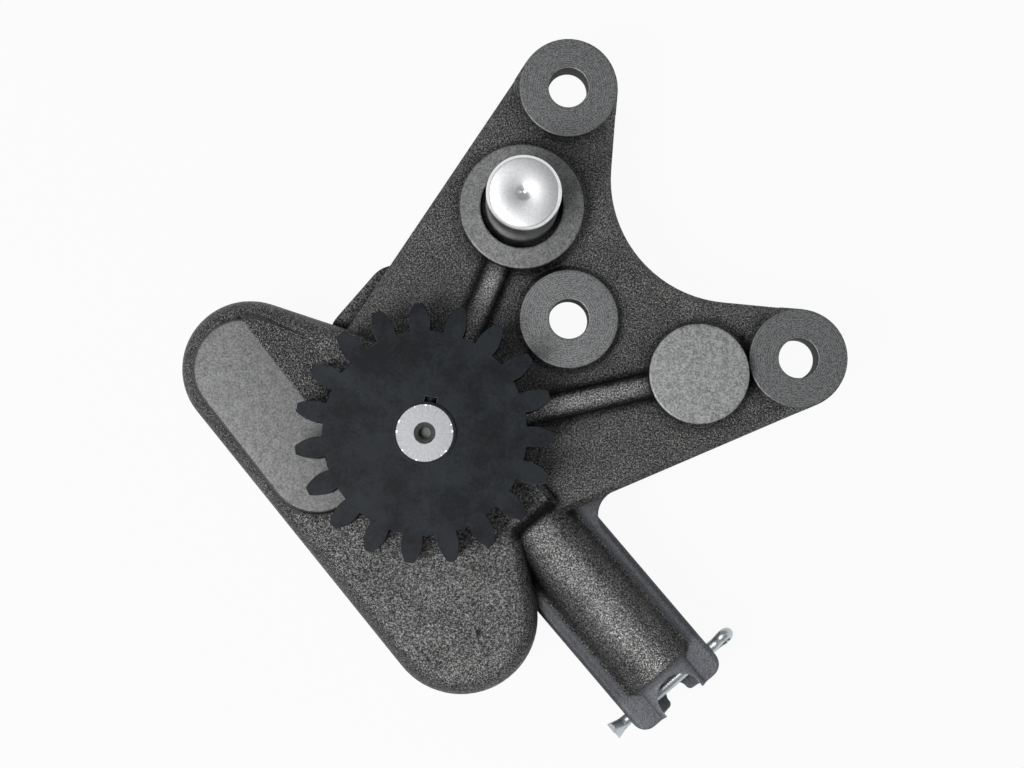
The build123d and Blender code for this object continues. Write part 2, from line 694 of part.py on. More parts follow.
def idler_pin():
    top = datum_height + idler_pin_projection
    shoulder = datum_height - idler_recess_depth
    body = rod(idler_shank_diameter / 2, mounting_face + idler_shank_end, top)
    body += rod(idler_pin_diameter / 2, shoulder, top)
    rim = max(body.edges().filter_by(GeomType.CIRCLE), key=lambda e: e.center().Z)
    return solid_of(Pos(*idler_place) * chamfer(rim, idler_pin_chamfer))


# --- relief valve parts --------------------------------------------------------------------
def relief_plunger():
    radius = valve_bore_diameter / 2 - plunger_clearance
    start = valve_seat + plunger_seat_gap
    body = barrel_cylinder(radius, start, start + plunger_length)
    body -= barrel_cylinder(radius - plunger_wall, start + plunger_head, start + plunger_length + 1)
    nose = [e for e in body.edges().filter_by(GeomType.CIRCLE)
            if (e.center() - barrel_frame.origin).dot(barrel_frame.z_dir) < start + 0.1]
    return solid_of(chamfer(nose, plunger_chamfer))


def spring_ends():
    """Where the spring starts, inside the plunger, and where it ends, inside the cap."""
    cap_outer = pin_place - pin_wire_diameter / 2
    return valve_seat + plunger_seat_gap + plunger_head, cap_outer - cap_wall


def relief_spring():
    """A coil of straight chords, with a six-sided wire."""
    start, finish = spring_ends()
    rise = finish - start - 2 * spring_end_gap - spring_wire
    mean_radius = (spring_outer_diameter - spring_wire) / 2
    chords = spring_turns * spring_chords_per_turn
    places = [(*polar(mean_radius, 360 / spring_chords_per_turn * k), rise / chords * k)
              for k in range(chords + 1)]
    path = Polyline(*places)
    section = Plane(origin=path @ 0, z_dir=path % 0) * RegularPolygon(spring_wire / 2, 6)
    coil = sweep(section, path, transition=Transition.RIGHT)
    return solid_of(barrel_frame * Pos(0, 0, start + spring_end_gap + spring_wire / 2) * coil)


def relief_cap():
    outer = pin_place - pin_wire_diameter / 2 - cap_end_gap
    radius = valve_bore_diameter / 2 - plunger_clearance
    body = barrel_cylinder(radius, outer - cap_length, outer)
    return solid_of(body - barrel_cylinder(radius - cap_wall, outer - cap_length - 1, outer - cap_wall))


def split_pin():
    """Two half-round legs side by side, joined by the eye, with their tails bent apart."""
    wire, inset = pin_wire_diameter / 2, pin_leg_gap / 2
    bend, tail = radians(pin_bend_angle), -pin_tail_reach
    neck_centre = (pin_leg_reach, inset + pin_neck_radius)
    reach = pin_eye_radius + pin_neck_radius
    eye_centre = pin_leg_reach + sqrt(reach ** 2 - neck_centre[1] ** 2)
    share = pin_neck_radius / reach
    eye_start = (neck_centre[0] + share * (eye_centre - neck_centre[0]), neck_centre[1] * (1 - share))
    bend_end = (tail - pin_bend_radius * sin(bend), inset + pin_bend_radius * (1 - cos(bend)))
    tip = (bend_end[0] - pin_tail_length * cos(bend), bend_end[1] + pin_tail_length * sin(bend))
    path = Wire([Line(tip, bend_end),
                 RadiusArc(bend_end, (tail, inset), -pin_bend_radius),
                 Line((tail, inset), (pin_leg_reach, inset)),
                 RadiusArc((pin_leg_reach, inset), eye_start, -pin_neck_radius),
                 ThreePointArc(eye_start, (eye_centre, pin_eye_radius), (eye_centre + pin_eye_radius, 0))])
    along = path % 0
    frame = Plane(origin=(tip[0], tip[1], 0), x_dir=(0, 0, -1), z_dir=(along.X, along.Y, 0))
    half_round = RegularPolygon(wire, 6) & Pos(0, wire) * Rectangle(2 * wire, 2 * wire)
    leg = sweep(frame * half_round, path)
    pin = leg + mirror(leg, Plane.XZ)
    return barrel_frame * Pos(0, 0, pin_place) * Rot(pin_roll, 0, 0) * pin


# --- output --------------------------------------------------------------------------------
def write_parts():
    os.makedirs("parts", exist_ok=True)
    nodes = {
        "pump_body": pump_body(),
        "front_bush": bush(shaft_boss_front - front_bush_length, front_bush_length),
        "rear_bush": bush(cover_joint - rear_bush_length, rear_bush_length),
        "drive_shaft": drive_shaft(),
        "drive_gear": drive_gear(),
        "gear_key": key_solid(),
        "inner_rotor": inner_rotor(),
        "rotor_pin": rotor_pin(),
        "outer_rotor": outer_rotor(),
        "rear_cover": rear_cover(),
        "idler_pin": idler_pin(),
        "relief_plunger": relief_plunger(),
        "relief_spring": relief_spring(),
        "relief_cap": relief_cap(),
        "split_pin": split_pin(),
    }
    for number, place in enumerate(screw_places(), start=1):
        nodes[f"cover_screw_{number}"] = cover_screw(place)
        nodes[f"cover_washer_{number}"] = cover_washer(place)
    for number, place in enumerate(dowel_places(), start=1):
        nodes[f"cover_dowel_{number}"] = dowel(place)
    for name, shape in nodes.items():
        export_step(shape, f"parts/{name}.step")


write_parts()
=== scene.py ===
import json
import math
import bpy
from mathutils import Matrix, Vector


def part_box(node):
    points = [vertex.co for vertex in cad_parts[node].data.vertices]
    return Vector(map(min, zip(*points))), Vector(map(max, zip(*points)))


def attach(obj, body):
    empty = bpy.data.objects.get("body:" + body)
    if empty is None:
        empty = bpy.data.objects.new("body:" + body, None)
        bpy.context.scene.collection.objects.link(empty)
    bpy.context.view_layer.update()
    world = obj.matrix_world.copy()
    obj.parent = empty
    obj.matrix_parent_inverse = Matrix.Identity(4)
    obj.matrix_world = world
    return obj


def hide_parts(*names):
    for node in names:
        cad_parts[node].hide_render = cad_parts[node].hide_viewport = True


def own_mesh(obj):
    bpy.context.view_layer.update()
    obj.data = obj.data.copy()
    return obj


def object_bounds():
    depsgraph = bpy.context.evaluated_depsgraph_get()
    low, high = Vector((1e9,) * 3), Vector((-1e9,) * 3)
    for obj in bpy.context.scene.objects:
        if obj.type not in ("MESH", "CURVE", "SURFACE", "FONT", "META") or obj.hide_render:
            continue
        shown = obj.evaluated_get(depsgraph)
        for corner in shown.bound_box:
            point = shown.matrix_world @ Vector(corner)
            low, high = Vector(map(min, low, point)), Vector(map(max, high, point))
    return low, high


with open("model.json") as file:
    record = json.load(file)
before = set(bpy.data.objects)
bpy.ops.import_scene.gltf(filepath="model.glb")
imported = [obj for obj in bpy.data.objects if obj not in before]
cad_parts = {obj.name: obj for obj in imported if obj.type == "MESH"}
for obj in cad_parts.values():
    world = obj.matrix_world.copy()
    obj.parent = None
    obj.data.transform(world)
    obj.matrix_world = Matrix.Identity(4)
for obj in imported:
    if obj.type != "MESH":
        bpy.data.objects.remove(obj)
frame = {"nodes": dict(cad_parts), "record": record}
nodes = frame["nodes"]
cad_low, cad_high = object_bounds()

# --- sizes and places, in metres -------------------------------------------------------------
MM = 0.001
full_turn = 2 * math.pi
shaft_place = (0.0, 0.0)
level_slack = 0.05 * MM  # a face counts as lying at a height when it is this near
facing_up = 0.97  # least vertical part of a level face's normal

# the shaft's end, and how far the gear's keyway reaches from its axis
shaft_front = 32.5 * MM
shaft_end_radius = 7.3 * MM
centre_drill_radius = 2.8 * MM
keyway_reach = 12.0 * MM
gear_mark_pitch = 0.5 * MM

# the casting's faces
datum_height = 15.0 * MM
lobe_front = 12.0 * MM
bolt_seat_height = 10.0 * MM
mounting_face = 0.0
port_face = -14.0 * MM
bolt_seat_radius = 13.1 * MM
bolt_hole_radius = 5.25 * MM
seat_mark_pitch = 0.6 * MM
bolt_places = ((37.6 * MM, 92.4 * MM), (37.7 * MM, 30.7 * MM), (98.6 * MM, 20.3 * MM))
blank_place = (71.8 * MM, 15.9 * MM)
# two small dark spots in the skin
dark_spot_places = ((13.8 * MM, -52.0 * MM), (84.0 * MM, 25.9 * MM))
dark_spot_radius, dark_spot_rim_radius = 0.60 * MM, 1.05 * MM

# the two ribs, which run from below the gear to the idler pin's boss and the blank boss;
# sideways from its middle, each keeps its painted light, then is in painted shade,
# then is as light as the plate
rib_start, rib_end = 24.0 * MM, 62.0 * MM
rib_top = 14.0 * MM
rib_painted_light_side, rib_painted_shade_side = 0.8 * MM, 2.3 * MM
rib_foot_side, rib_plate_side = 3.7 * MM, 5.4 * MM

# the idler pin
idler_place = (25.1177 * MM, 60.0457 * MM)
idler_pin_radius = 9.525 * MM
idler_pin_top = 45.3 * MM
idler_chamfer = 0.9 * MM
idler_shank_radius = 9.0 * MM
idler_shank_end = 0.5 * MM
idler_shoulder = 12.5 * MM
pin_end_mark_pitch, pin_side_mark_pitch = 0.5 * MM, 0.7 * MM

# the rear cover's fasteners
cover_back = -38.0 * MM
screw_across = 13.0 * MM
screw_head_height = 5.3 * MM
screw_head_chamfer = math.radians(30.0)
screw_radius = 4.0 * MM
screw_end = -15.0 * MM
washer_thickness = 2.0 * MM
washer_bore_radius = 4.25 * MM
washer_radius = 7.0 * MM
washer_rounding = 0.25 * MM
washer_gap = math.radians(13.0)
washer_slant = math.radians(7.0)

# the relief valve's barrel
barrel_direction = math.radians(-49.6)
barrel_offset = 6.4 * MM
barrel_axis_height = -1.0 * MM
barrel_wing_front = 2.5 * MM
barrel_crest = 9.7 * MM
barrel_root = 38.0 * MM
barrel_end_start = 88.0 * MM
barrel_round_side, barrel_flat_side = 8.6 * MM, 10.2 * MM
barrel_half_width = 13.0 * MM
# a band of painted shade across the barrel's root, where no groove is modelled
painted_crease_place = 35.2 * MM
painted_crease_half_width, painted_crease_dark_half_width = 2.5 * MM, 1.1 * MM
painted_crease_end_side, painted_crease_dark_side = 9.5 * MM, 6.0 * MM
barrel_along = Vector((math.cos(barrel_direction), math.sin(barrel_direction), 0.0))
barrel_across = Vector((-math.sin(barrel_direction), math.cos(barrel_direction), 0.0))
barrel_origin = barrel_across * barrel_offset + Vector((0.0, 0.0, barrel_axis_height))
spring_start, spring_finish = 49.4 * MM, 89.5 * MM
spring_mean_radius = 4.4 * MM
spring_wire_radius = 0.8 * MM
spring_turns = 8

# the split pin: lengths along it count from the barrel's axis
pin_place = 92.7 * MM
pin_roll = math.radians(-20.0)
pin_wire_radius = 1.6 * MM
pin_least_depth = 0.25 * MM
pin_corner_in, pin_corner_out = 0.05 * MM, 0.048 * MM
pin_inset = 0.06 * MM
pin_eye_radius = 1.4 * MM
pin_neck_radius = 4.2 * MM
pin_leg_reach = 15.4 * MM
pin_tail_reach = 15.2 * MM
pin_tail_length = 3.4 * MM
pin_bend_radius = 3.2 * MM
pin_bend_angle = math.radians(50.0)

# --- the camera, as the photograph was taken -------------------------------------------------
camera_place = (0.014138, -0.011958, 0.621)
camera_right = (0.999905, 0.0, 0.013840)
camera_up = (-0.000575, 0.999138, 0.041519)
camera_back = (-0.013828, -0.041523, 0.999042)
camera_lens = 81.21
sensor_width = 36.0

# --- the surroundings ------------------------------------------------------------------------
floor_size = 4.0
floor_gap = 0.02 * MM
floor_glow_share = 0.94
world_light_level = 0.22
wall_level = 0.92
wall_top, ceiling_start = 0.20, 0.50
# each lamp's name, place, target, two sides and power
softboxes = (
    ("key", (-0.17, -0.13, 0.60), (0.0, -0.02, 0.0), (0.20, 0.20), 2.8),
    ("fill", (0.70, 0.10, 0.45), (0.0, 0.0, 0.0), (0.15, 0.5), 0.4),
    ("overhead", (-0.35, 0.10, 1.00), (0.0, 0.0, 0.0), (0.6, 0.6), 1.7),
)


# --- node helpers ----------------------------------------------------------------------------
class Nodes:
    """A node tree under construction, with short ways to add to it."""

    def __init__(self, tree):
        self.tree = tree

    def add(self, kind, inputs=(), **settings):
        made = self.tree.nodes.new(kind)
        for key, value in settings.items():
            setattr(made, key, value)
        for key, value in dict(inputs).items():
            self.put(made.inputs[key], value)
        return made

    def put(self, socket, value):
        if isinstance(value, bpy.types.NodeSocket):
            self.tree.links.new(value, socket)
        else:
            socket.default_value = value

    def maths(self, operation, *values):
        made = self.add("ShaderNodeMath", operation=operation)
        for socket, value in zip(made.inputs, values):
            self.put(socket, value)
        return made.outputs[0]

    def fold(self, operation, values):
        """One operation carried along a row of values."""
        total = values[0]
        for value in values[1:]:
            total = self.maths(operation, total, value)
        return total

    def all_of(self, *values):
        return self.fold("MULTIPLY", values)

    def any_of(self, *values):
        return self.fold("MAXIMUM", values)

    def weighted(self, *pairs):
        """The sum of values, each times its share."""
        return self.fold("ADD", [self.maths("MULTIPLY", value, share) for value, share in pairs])

    def remap(self, value, low, high, to_low=0.0, to_high=1.0):
        """A value from one range in another, held at both ends."""
        made = self.add("ShaderNodeMapRange", {"Value": value, "From Min": low, "From Max": high,
                                               "To Min": to_low, "To Max": to_high})
        return made.outputs["Result"]

    def seen(self):
        """1 for rays that show or mirror the surroundings, 0 for those that only bring light."""
        rays = self.add("ShaderNodeLightPath").outputs
        kinds = ("Is Camera Ray", "Is Glossy Ray", "Is Transmission Ray")
        return self.any_of(*[rays[kind] for kind in kinds])


class Shade(Nodes):
    """One material under construction."""

    def __init__(self, name):
        self.made = bpy.data.materials.new(name)
        self.made.use_nodes = True
        super().__init__(self.made.node_tree)
        self.shader = self.tree.nodes["Principled BSDF"]
        self.coords = self.add("ShaderNodeTexCoord").outputs["Object"]

    def set(self, **values):
        for key, value in values.items():
            self.put(self.shader.inputs[key.replace("_", " ")], value)

    # places and directions on the piece
    def vector(self, operation, *values):
        made = self.add("ShaderNodeVectorMath", operation=operation)
        for socket, value in zip(made.inputs, values):
            self.put(socket, value)
        return made.outputs["Value" if operation in ("DISTANCE", "DOT_PRODUCT") else "Vector"]

    def axis(self, name):
        return self.add("ShaderNodeSeparateXYZ", {"Vector": self.coords}).outputs[name]

    def along(self, direction):
        return self.vector("DOT_PRODUCT", self.coords, tuple(direction))

    def reach(self, place):
        """Distance from a vertical axis."""
        flat = self.vector("MULTIPLY", self.coords, (1.0, 1.0, 0.0))
        return self.vector("DISTANCE", flat, (place[0], place[1], 0.0))

    def angle(self):
        """Direction from the shaft's axis."""
        flat = self.add("ShaderNodeSeparateXYZ", {"Vector": self.coords})
        return self.maths("ARCTAN2", flat.outputs["Y"], flat.outputs["X"])

    def upward(self):
        """The vertical component of the surface's true normal."""
        normal = self.add("ShaderNodeTexCoord").outputs["Normal"]
        return self.add("ShaderNodeSeparateXYZ", {"Vector": normal}).outputs["Z"]

    # masks, which are 1 where they hold and else 0
    def near(self, value, target, width=level_slack):
        return self.maths("COMPARE", value, target, width)

    def above(self, value, least):
        return self.maths("GREATER_THAN", value, least)

    def below(self, value, most):
        return self.maths("LESS_THAN", value, most)

    def away(self, value, middle):
        """How far a value lies from a middle, to either side."""
        return self.maths("ABSOLUTE", self.maths("SUBTRACT", value, middle))

    # patterns
    def noise(self, scale, detail=2.0, roughness=0.5, coords=None):
        made = self.add("ShaderNodeTexNoise", {"Scale": scale, "Detail": detail,
                                               "Roughness": roughness,
                                               "Vector": coords or self.coords})
        return made.outputs["Fac"]

    def ring_noise(self, angle, steps, detail):
        """Noise that changes only with an angle."""
        made = self.add("ShaderNodeTexNoise", {"W": self.maths("MULTIPLY", angle, steps),
                                               "Scale": 1.0, "Detail": detail},
                        noise_dimensions="1D")
        return made.outputs["Fac"]

    def waves(self, distance, pitch):
        """The even marks of a turning tool."""
        return self.maths("SINE", self.maths("MULTIPLY", distance, full_turn / pitch))

    # colours
    def ramp(self, value, *stops):
        """A colour ramp from (place, brightness or colour) pairs."""
        made = self.add("ShaderNodeValToRGB", {"Fac": value})
        elements = made.color_ramp.elements
        while len(elements) < len(stops):
            elements.new(0.5)
        for element, (place, shade) in zip(elements, stops):
            element.position = place
            element.color = rgb(*shade) if isinstance(shade, tuple) else rgb(shade, shade, shade)
        return made.outputs["Color"]

    def mix(self, factor, first, second):
        made = self.add("ShaderNodeMix", data_type="RGBA")
        for number, value in ((0, factor), (6, first), (7, second)):
            self.put(made.inputs[number], value)
        return made.outputs[2]

    def blend(self, factor, first, second):
        made = self.add("ShaderNodeMix", data_type="FLOAT")
        for number, value in ((0, factor), (2, first), (3, second)):
            self.put(made.inputs[number], value)
        return made.outputs[0]

    def dim(self, colour, factor):
        """A colour times a brightness."""
        made = self.add("ShaderNodeHueSaturation", {"Color": colour, "Value": factor})
        return made.outputs["Color"]

    # the surface's shape
    def bump(self, height, distance, strength=1.0, normal=None):
        inputs = {"Height": height, "Distance": distance, "Strength": strength}
        if normal is not None:
            inputs["Normal"] = normal
        return self.add("ShaderNodeBump", inputs).outputs["Normal"]

    def rounded(self, radius):
        """The normal with every edge softened."""
        return self.add("ShaderNodeBevel", {"Radius": radius}, samples=6).outputs["Normal"]

    def edge(self, softened, near=0.985, full=0.86):
        """1 along an edge, from how far the softened normal turns there."""
        true = self.add("ShaderNodeNewGeometry").outputs["Normal"]
        return self.remap(self.vector("DOT_PRODUCT", softened, true), near, full)

    def hollow(self, distance):
        """1 in the open, less in corners and pits."""
        made = self.add("ShaderNodeAmbientOcclusion", {"Distance": distance}, samples=6)
        return made.outputs["AO"]


def rgb(*values):
    return (*values, 1.0)


# --- materials -------------------------------------------------------------------------------
class CastIron(Shade):
    """The pump body: rough as cast, smoother on the barrel's flats, ground and milled in places."""

    def __init__(self):
        super().__init__("cast_iron")
        self.z = self.axis("Z")
        self.up = self.upward()
        self.down_barrel = self.along(barrel_along)
        self.across_barrel = self.along(barrel_across)
        self.to_bolt = self.fold("MINIMUM", [self.reach(place) for place in bolt_places])
        self.grain = self.noise(2300, 2.0, 0.6)
        stretched = self.vector("MULTIPLY", self.coords, (1.0, 0.85, 1.0))
        cloud = self.noise(700, 3.0, 0.6, stretched)
        self.mottle = self.weighted((self.grain, 0.75), (cloud, 0.25))

    def flats(self):
        """1 on the barrel's flat wings, ears and end, which come smoother out of the mould."""
        side = self.away(self.across_barrel, barrel_offset + 0.5 * MM)
        end = self.remap(self.down_barrel, barrel_end_start - 0.5 * MM, barrel_end_start + 1.5 * MM)
        flat = self.any_of(self.remap(side, barrel_round_side, barrel_flat_side), end)
        beyond = self.remap(self.down_barrel, barrel_root, barrel_root + 4 * MM)
        low = self.any_of(self.below(self.z, barrel_wing_front + 0.3 * MM),
                          self.above(self.down_barrel, barrel_end_start))
        return self.all_of(flat, beyond, low)

    def painted_crest_light(self):
        """Painted light on raised forms, the barrel's crest most of all; painted shade on steep
        faces.
        """
        raised = self.remap(self.z, barrel_crest - 1.9 * MM, barrel_crest)
        crest = self.all_of(raised, self.remap(self.up, 0.86, 0.985))
        return self.blend(crest, self.remap(self.up, 0.5, 0.85, 0.90, 1.0), 2.2)

    def rib_painted_shade(self, place):
        """Painted light and shade: a rib keeps its light only along the middle, its feet painted
        dark.
        """
        way = Vector((*place, 0.0)).normalized()
        beside = self.maths("ABSOLUTE", self.along((-way.y, way.x, 0.0)))
        out = self.reach(shaft_place)
        on_rib = self.all_of(self.above(out, rib_start), self.below(out, rib_end),
                             self.above(self.along(way), 0.0), self.below(self.z, rib_top))
        painted_flank_shade = self.remap(beside, rib_painted_light_side, rib_painted_shade_side, 1.0, 0.36)
        plate = self.remap(beside, rib_foot_side, rib_plate_side)
        return self.blend(on_rib, 1.0, self.any_of(painted_flank_shade, plate))

    def barrel_painted_shade(self):
        """Painted shade: a dark band where the barrel leaves the plate, flanks darker than the
        crest.
        """
        from_middle = self.away(self.across_barrel, barrel_offset + 1.0 * MM)
        from_painted_crease = self.away(self.down_barrel, painted_crease_place)
        painted_crease = self.all_of(self.remap(from_painted_crease, painted_crease_half_width, painted_crease_dark_half_width),
                             self.remap(from_middle, painted_crease_end_side, painted_crease_dark_side),
                             self.above(self.z, barrel_wing_front))
        on_barrel = self.all_of(self.below(from_middle, barrel_half_width),
                                self.above(self.down_barrel, painted_crease_place))
        painted_flank_shade = self.remap(self.up, 0.60, 0.95, 0.72, 1.0)
        return self.blend(painted_crease, 1.0, 0.12), self.blend(on_barrel, 1.0, painted_flank_shade)

    def skin(self):
        """The rough skin: dark, fine bright grain, painted glints, painted light and shade."""
        colour = self.ramp(self.grain, (0.37, 0.022), (0.53, (0.085, 0.084, 0.083)),
                           (0.66, (0.27, 0.268, 0.262)))
        # sparse bright specks: painted glints
        painted_glint_speck = self.remap(self.noise(3300, 1.0, 0.5), 0.58, 0.70, 0.0, 0.6)
        colour = self.mix(painted_glint_speck, colour, rgb(0.40, 0.395, 0.385))
        # random tone, painted crest light, and the lobe's top painted darker as painted shade
        tones = [self.remap(self.noise(90, 3.0, 0.6), 0.3, 0.7, 0.80, 1.16), self.painted_crest_light(),
                 self.remap(self.z, lobe_front - 0.7 * MM, lobe_front - level_slack, 1.0, 0.57)]
        tones += [self.rib_painted_shade(place) for place in (idler_place, blank_place)]
        # two small dark spots
        tones += [self.remap(self.reach(place), dark_spot_radius, dark_spot_rim_radius, 0.25, 1.0)
                  for place in dark_spot_places]
        return self.dim(colour, self.all_of(*tones, *self.barrel_painted_shade()))

    def cast_colour(self, flats, soft):
        """Skin and flats, edges lighter by wear and painted highlight, corners in painted shade."""
        flat = self.ramp(self.grain, (0.34, (0.034, 0.035, 0.039)), (0.66, (0.076, 0.078, 0.086)))
        end = self.remap(self.down_barrel, barrel_end_start - 2 * MM, barrel_end_start + 1 * MM)
        # painted light: the flats at the barrel's end lighter, higher parts most
        painted_end_light = self.remap(self.z, barrel_wing_front + 0.1 * MM, barrel_wing_front + 0.8 * MM,
                               2.0, 3.4)
        flat = self.dim(flat, self.blend(end, 1.0, painted_end_light))
        colour = self.mix(flats, self.skin(), flat)
        # lighter edges: partly wear, partly painted highlight
        edge = self.all_of(self.edge(soft), self.blend(self.all_of(end, flats), 0.25, 0.75))
        colour = self.mix(edge, colour, rgb(0.28, 0.277, 0.272))
        # painted shade: darker in corners and hollows
        corner = self.blend(flats, 0.10, 0.40)
        return self.dim(colour, self.remap(self.hollow(4 * MM), 0.42, 0.95, corner, 1.0))

    def ground_colour_and_painted_light(self):
        """Painted light and shade across the ground faces: the pad darkest, the blank boss
        lightest.
        """
        colour = self.ramp(self.mottle, (0.38, (0.088, 0.090, 0.089)),
                           (0.62, (0.235, 0.238, 0.234)))
        x = self.axis("X")
        # painted shade: the pad darker towards the gear; painted light: the blank boss lighter
        return self.dim(colour, self.all_of(self.remap(x, -55 * MM, -20 * MM, 1.05, 0.66),
                                            self.remap(x, -12 * MM, 12 * MM, 0.50, 1.52),
                                            self.remap(x, 40 * MM, 60 * MM, 1.0, 1.7)))

    def seat_colour(self):
        """The milled seats, with the cutter's rings around each bolt hole."""
        marks = self.waves(self.to_bolt, seat_mark_pitch)
        turned = self.weighted((self.mottle, 1.0), (marks, 0.045))
        return self.ramp(turned, (0.38, (0.060, 0.062, 0.063)), (0.62, (0.23, 0.236, 0.236)))


def cast_iron():
    shade = CastIron()
    soft = shade.rounded(0.8 * MM)
    flats = shade.flats()
    faces_up = shade.above(shade.up, facing_up)
    ground = shade.all_of(faces_up, shade.near(shade.z, datum_height))
    seat = shade.all_of(faces_up, shade.near(shade.z, bolt_seat_height),
                        shade.below(shade.to_bolt, bolt_seat_radius + 0.1 * MM))
    bore = shade.below(shade.to_bolt, bolt_hole_radius + level_slack)
    rear = shade.all_of(shade.below(shade.up, -facing_up), shade.any_of(
        shade.near(shade.z, mounting_face), shade.near(shade.z, port_face)))
    machined = shade.any_of(ground, seat, rear, bore)

    colour = shade.mix(seat, shade.cast_colour(flats, soft), shade.seat_colour())
    colour = shade.mix(shade.any_of(ground, rear), colour, shade.ground_colour_and_painted_light())
    # painted shade: the bolt holes' walls near black
    colour = shade.mix(bore, colour, rgb(0.02, 0.02, 0.02))

    height = shade.weighted((shade.grain, 1.0), (shade.noise(650), 0.8))
    depth = shade.blend(machined, shade.blend(flats, 1.0, 0.3), 0.0)
    normal = shade.bump(height, 0.40 * MM, depth, soft)
    normal = shade.bump(shade.mottle, 0.03 * MM, machined, normal)
    rough = shade.blend(bore, shade.blend(machined, 0.50, 0.40), 0.8)
    metal = shade.blend(bore, shade.blend(machined, shade.blend(flats, 0.90, 0.35), 0.55), 0.0)
    shade.set(Base_Color=colour, Roughness=rough, Metallic=metal, Normal=normal)
    return shade.made


def black_oxide():
    """The gear: hot-blackened steel, faint turning marks, edges bright by wear and painted glints.
    """
    shade = Shade("gear_steel")
    soft = shade.rounded(0.3 * MM)
    reach = shade.reach(shaft_place)
    fine = shade.noise(1300, 3.0, 0.6)
    mottle = shade.weighted((fine, 0.35), (shade.noise(110, 3.0, 0.6), 0.65))
    colour = shade.ramp(mottle, (0.42, (0.0012, 0.0024, 0.0044)), (0.58, (0.0120, 0.0148, 0.0185)))
    spokes = shade.ring_noise(shade.angle(), 3.0, 2.0)
    colour = shade.dim(colour, shade.remap(spokes, 0.3, 0.7, 0.8, 1.25))
    # bright edges: partly worn bare steel, partly painted glints
    worn_and_glinting = shade.all_of(shade.remap(shade.noise(60), 0.5, 0.62), 0.5)
    bare_and_glinting = shade.all_of(shade.any_of(worn_and_glinting, shade.below(reach, keyway_reach)),
                        shade.edge(soft, 0.99, 0.9))
    colour = shade.mix(shade.all_of(bare_and_glinting, 0.7), colour, rgb(0.26, 0.26, 0.25))
    height = shade.weighted((fine, 1.0), (shade.waves(reach, gear_mark_pitch), 0.10))
    shade.set(Base_Color=colour, Roughness=0.5, Metallic=shade.all_of(bare_and_glinting, 0.6),
              Normal=shade.bump(height, 0.02 * MM, 1.0, soft), Specular_IOR_Level=0.14)
    return shade.made


def plain_steel(name, dark, light, roughness, metallic=0.9, softening=0.25 * MM):
    shade = Shade(name)
    fine = shade.noise(1600, 3.0, 0.6)
    mottle = shade.weighted((fine, 0.5), (shade.noise(180, 3.0, 0.6), 0.5))
    colour = shade.ramp(mottle, (0.35, dark), (0.65, light))
    normal = shade.bump(fine, 0.012 * MM, 1.0, shade.rounded(softening))
    shade.set(Base_Color=colour, Roughness=roughness, Metallic=metallic, Normal=normal)
    return shade.made


def shaft_steel():
    """The shaft: sides painted near black as painted shade, a bright turned end, a drilled centre.
    """
    shade = Shade("ground_steel")
    up, z, reach = shade.upward(), shade.axis("Z"), shade.reach(shaft_place)
    end = shade.all_of(shade.above(up, 0.95), shade.above(z, shaft_front - level_slack),
                       shade.below(reach, shaft_end_radius + 0.1 * MM))
    drilled = shade.all_of(shade.above(up, 0.3), shade.below(z, shaft_front - 0.02 * MM),
                           shade.below(reach, centre_drill_radius + level_slack))
    fine = shade.noise(1500, 3.0, 0.6)
    # the bright end face, streaked outward near its rim
    streak = shade.ring_noise(shade.angle(), 16.0, 4.0)
    streaks = shade.all_of(shade.remap(reach, 4.0 * MM, shaft_end_radius),
                           shade.remap(streak, 0.42, 0.62, -0.10, 0.10))
    tone = shade.maths("ADD", shade.weighted((fine, 0.35), (streaks, 1.0)), 0.3)
    face = shade.ramp(tone, (0.30, (0.20, 0.205, 0.212)), (0.62, (0.34, 0.345, 0.354)))
    glint = shade.all_of(shade.above(reach, shaft_end_radius - 0.35 * MM),
                         shade.above(shade.ring_noise(shade.angle(), 5.0, 2.0), 0.62))
    face = shade.mix(glint, face, rgb(0.95, 0.95, 0.95))
    # painted shade: the sides and end chamfer near black
    side = shade.ramp(fine, (0.3, (0.010, 0.0105, 0.011)), (0.7, (0.028, 0.029, 0.031)))
    cone = shade.ramp(fine, (0.3, (0.055, 0.056, 0.055)), (0.7, (0.11, 0.112, 0.11)))
    colour = shade.mix(drilled, shade.mix(end, side, face), cone)
    shade.set(Base_Color=colour, Roughness=shade.blend(end, 0.42, 0.40),
              Metallic=shade.blend(end, 0.25, 0.55), Normal=shade.bump(streak, 0.012 * MM, end))
    return shade.made


def pin_steel():
    """The idler pin: hardened and ground, its turned end painted bright, its side in painted shade.
    """
    shade = Shade("polished_steel")
    z = shade.axis("Z")
    fine = shade.noise(1500, 3.0, 0.6)
    colour = shade.ramp(fine, (0.3, (0.76, 0.76, 0.77)), (0.7, 0.92))
    chamfer_foot = idler_pin_top - idler_chamfer
    painted_shade_on_side = shade.remap(z, chamfer_foot, chamfer_foot - 0.5 * MM)
    # painted shade: the side darker than the painted bright end
    colour = shade.dim(colour, shade.blend(painted_shade_on_side, 1.0, 0.30))
    end_marks = shade.waves(shade.reach(idler_place), pin_end_mark_pitch)
    side_marks = shade.waves(z, pin_side_mark_pitch)
    height = shade.weighted((fine, 0.5), (end_marks, 0.12), (side_marks, 0.3))
    shade.set(Base_Color=colour, Roughness=0.3, Metallic=0.9, Normal=shade.bump(height, 0.006 * MM))
    return shade.made


